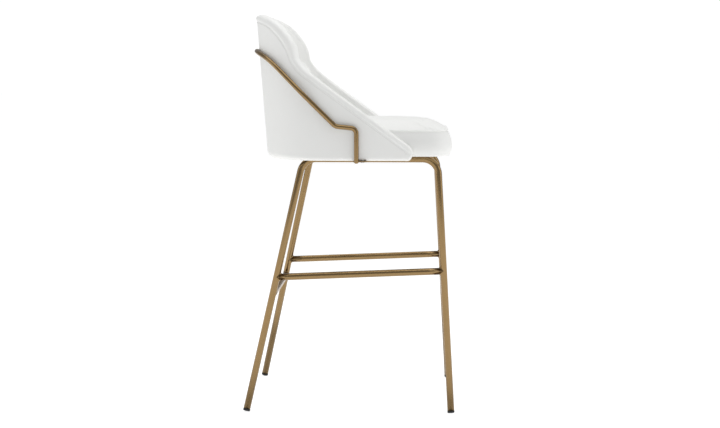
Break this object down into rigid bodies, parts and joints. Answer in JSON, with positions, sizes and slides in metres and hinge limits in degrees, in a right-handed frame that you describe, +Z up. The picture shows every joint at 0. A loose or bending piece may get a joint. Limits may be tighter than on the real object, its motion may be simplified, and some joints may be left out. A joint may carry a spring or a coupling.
{
  "type": "bar stool",
  "caption": "White upholstered bar stool with a wrap-round back, sloping arms, a bent brass rod round the back and a splayed tube frame with footrest.",
  "frame": {"origin": "on the floor, midway between the four feet", "axes": "+Z is up, the stool faces -Y, and X = 0 is its plane of symmetry"},
  "size_m": [0.4892, 0.5514, 1.0353],
  "materials": {
    "brass_tube": "satin, lightly brushed",
    "black_steel": "black powder coat",
    "black_plastic": "moulded",
    "white_leatherette": "smooth fine grain, satin",
    "foam": "cut foam",
    "plywood": "raw sanded birch ply",
    "black_cloth": "non-woven cloth",
    "bright_screw": "bright zinc plate"
  },
  "bodies": {
    "root": {"side_frame_left": "brass_tube", "side_frame_right": "brass_tube", "side_stretcher_left": "brass_tube", "side_stretcher_right": "brass_tube", "rear_cross_bar": "brass_tube", "front_footrest_bar": "brass_tube", "weld_fillets": "brass_tube", "back_rod": "brass_tube", "rod_tab_left": "brass_tube", "rod_tab_right": "brass_tube", "front_mount_plate": "black_steel", "rear_mount_plate": "black_steel", "foot_cap_front_left": "black_plastic", "foot_cap_front_right": "black_plastic", "foot_cap_rear_left": "black_plastic", "foot_cap_rear_right": "black_plastic", "back_outer_cover": "white_leatherette", "back_wrap_pad": "white_leatherette", "lower_back_pad": "white_leatherette", "upper_back_pad": "white_leatherette", "seat_cover": "white_leatherette", "seat_foam": "foam", "seat_board": "plywood", "back_shell_core": "plywood", "seat_dust_cover": "black_cloth", "rod_tab_screws": "bright_screw", "seat_bolts": "bright_screw", "seat_washers": "bright_screw", "seat_tee_nuts": "bright_screw", "shell_screws": "bright_screw"}
  },
  "joints": []
}
